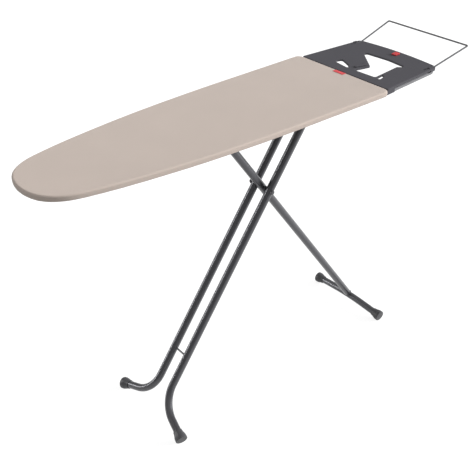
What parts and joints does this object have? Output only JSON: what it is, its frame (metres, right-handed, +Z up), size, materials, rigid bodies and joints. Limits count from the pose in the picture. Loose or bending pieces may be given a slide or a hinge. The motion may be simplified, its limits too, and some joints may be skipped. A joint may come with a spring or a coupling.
{
  "type": "ironing board",
  "caption": "Folding ironing board with a padded cloth-covered top, a slotted iron rest, a hinged wire rack and crossing tube legs on rubber feet.",
  "frame": {"origin": "on the floor, under the middle of the object's bounding box", "axes": "+X from the rounded nose to the iron rest, +Z up from the floor, +Y across the board to the side away from the release handle"},
  "size_m": [1.5105, 0.388, 1.0056],
  "materials": {
    "cover_fabric": "plain taupe woven cotton, matt",
    "pad_foam": "off-white needled felt over foam, matt",
    "anthracite_paint": "anthracite powder coat, satin",
    "light_grey_paint": "light grey powder coat, satin",
    "wire_paint": "grey powder-coated wire, satin",
    "zinc_steel": "zinc-plated pressed steel, satin",
    "dark_grey_plastic": "dark grey moulded plastic, fine grain",
    "dark_rubber": "dark grey moulded rubber, matt",
    "red_label": "red woven ribbon, plain",
    "red_badge": "red moulded plastic, plain"
  },
  "bodies": {
    "board": {"cover": "cover_fabric", "cover_tag": "red_label", "foam_pad": "pad_foam", "mesh_sheet": "light_grey_paint", "rim_tube": "light_grey_paint", "rim_joint_plug": "zinc_steel", "nose_cross_member": "zinc_steel", "middle_cross_member": "zinc_steel", "hinge_cross_member": "zinc_steel", "tail_cross_member": "zinc_steel", "guide_channel": "zinc_steel", "hinge_bracket_front": "zinc_steel", "hinge_bracket_back": "zinc_steel", "hinge_pin_front": "zinc_steel", "hinge_pin_back": "zinc_steel", "shaft_bearing": "dark_grey_plastic", "release_spring": "zinc_steel", "rest_plate": "dark_grey_plastic", "rest_tag": "red_badge", "rest_tube": "light_grey_paint", "rest_socket_front": "dark_grey_plastic", "rest_socket_back": "dark_grey_plastic", "socket_screw_front": "zinc_steel", "socket_screw_back": "zinc_steel", "plate_screw_front": "zinc_steel", "plate_screw_back": "zinc_steel", "rack_clip_front": "dark_grey_plastic", "rack_clip_back": "dark_grey_plastic"},
    "twin_legs": {"twin_leg_front": "anthracite_paint", "twin_leg_back": "anthracite_paint", "twin_leg_brace": "anthracite_paint", "twin_leg_cap_front": "dark_rubber", "twin_leg_cap_back": "dark_rubber", "twin_leg_plug_front": "dark_grey_plastic", "twin_leg_plug_back": "dark_grey_plastic", "pivot_bolt": "anthracite_paint", "pivot_nut": "dark_grey_plastic", "pivot_spacer_front": "dark_grey_plastic", "pivot_spacer_back": "dark_grey_plastic"},
    "single_leg_frame": {"single_leg": "anthracite_paint", "foot_bar": "anthracite_paint", "foot_bar_cap_front": "dark_rubber", "foot_bar_cap_back": "dark_rubber", "slide_pin": "zinc_steel", "slide_washer_front": "dark_grey_plastic", "slide_washer_back": "dark_grey_plastic"},
    "release": {"release_shaft": "zinc_steel", "height_pawl": "zinc_steel", "release_handle": "dark_grey_plastic"},
    "rack": {"wire_rack": "wire_paint"}
  },
  "joints": [
    {"name": "legs_fold", "type": "hinge", "parent": "board", "child": "twin_legs", "pos_m": [0.19976, 0, 0.936], "axis": [0, 1, 0], "range_deg": [0, 53.2]},
    {"name": "legs_cross", "type": "hinge", "parent": "twin_legs", "child": "single_leg_frame", "pos_m": [0.01765, 0, 0.6788], "axis": [0, 1, 0], "range_deg": [-106.4, 0]},
    {"name": "height_release", "type": "hinge", "parent": "board", "child": "release", "pos_m": [-0.14196, 0, 0.9526], "axis": [0, 1, 0], "range_deg": [0, 20], "stiffness_Nm_per_rad": 0.2, "springref_deg": -20.05},
    {"name": "rack_fold", "type": "hinge", "parent": "board", "child": "rack", "pos_m": [0.57665, 0, 0.966], "axis": [0, -1, 0], "range_deg": [0, 165]}
  ],
  "couplings": [
    {"joint": "legs_cross", "follows": "legs_fold", "ratio": -2}
  ]
}
